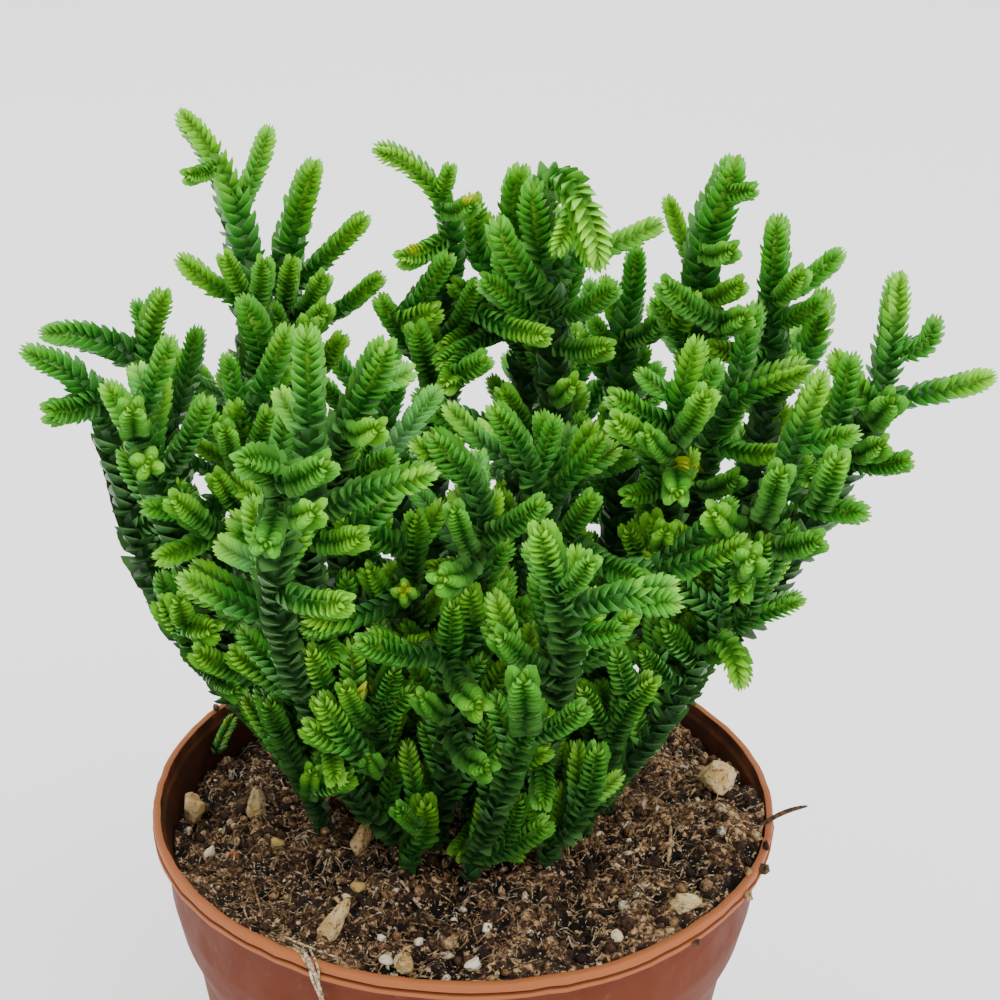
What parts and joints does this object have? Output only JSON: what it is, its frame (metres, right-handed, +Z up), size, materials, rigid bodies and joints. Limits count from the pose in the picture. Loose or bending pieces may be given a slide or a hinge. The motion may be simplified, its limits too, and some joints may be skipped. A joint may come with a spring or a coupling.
{
  "type": "potted watch chain crassula",
  "caption": "Upright succulent with many thin stems covered by four-ranked scale leaves, rooted in gritty soil in a thin tapered nursery pot.",
  "frame": {"origin": "middle of the pot's flat bottom", "axes": "+Z up along the pot's axis; the pictured front is toward -Y"},
  "size_m": [0.1426, 0.1338, 0.2058],
  "materials": {
    "pot": "semi-gloss moulded plastic",
    "soil": "loose peat and fibre",
    "leafy_stem": "waxy scale leaves",
    "stone": "rough, pale"
  },
  "bodies": {
    "root": {"pot": "pot", "soil": "soil", "leafy_stem_top_left": "leafy_stem", "leafy_stem_left_outer": "leafy_stem", "leafy_stem_left_upper": "leafy_stem", "leafy_stem_left_middle": "leafy_stem", "leafy_stem_near_left_tall": "leafy_stem", "leafy_stem_near_left": "leafy_stem", "leafy_stem_low_left": "leafy_stem", "leafy_stem_near_centre_tall": "leafy_stem", "leafy_stem_centre": "leafy_stem", "leafy_stem_near_centre": "leafy_stem", "leafy_stem_front_long": "leafy_stem", "leafy_stem_front_right_short": "leafy_stem", "leafy_stem_front_middle": "leafy_stem", "leafy_stem_front_open": "leafy_stem", "leafy_stem_front_left": "leafy_stem", "leafy_stem_top_centre": "leafy_stem", "leafy_stem_top_centre_right": "leafy_stem", "leafy_stem_centre_right": "leafy_stem", "leafy_stem_right_rear_tall": "leafy_stem", "leafy_stem_right_tall": "leafy_stem", "leafy_stem_right_front_tall": "leafy_stem", "leafy_stem_right_outer": "leafy_stem", "leafy_stem_right_front": "leafy_stem", "leafy_stem_low_right": "leafy_stem", "leafy_stem_rear_left": "leafy_stem", "leafy_stem_rear_centre_left": "leafy_stem", "leafy_stem_rear_centre": "leafy_stem", "leafy_stem_rear_centre_right": "leafy_stem", "leafy_stem_rear_right": "leafy_stem", "stone_left": "stone", "stone_left_upright": "stone", "stone_by_stem": "stone", "stone_front_chip": "stone", "stone_front_rim": "stone", "stone_right": "stone", "stone_front_right": "stone"}
  },
  "joints": []
}
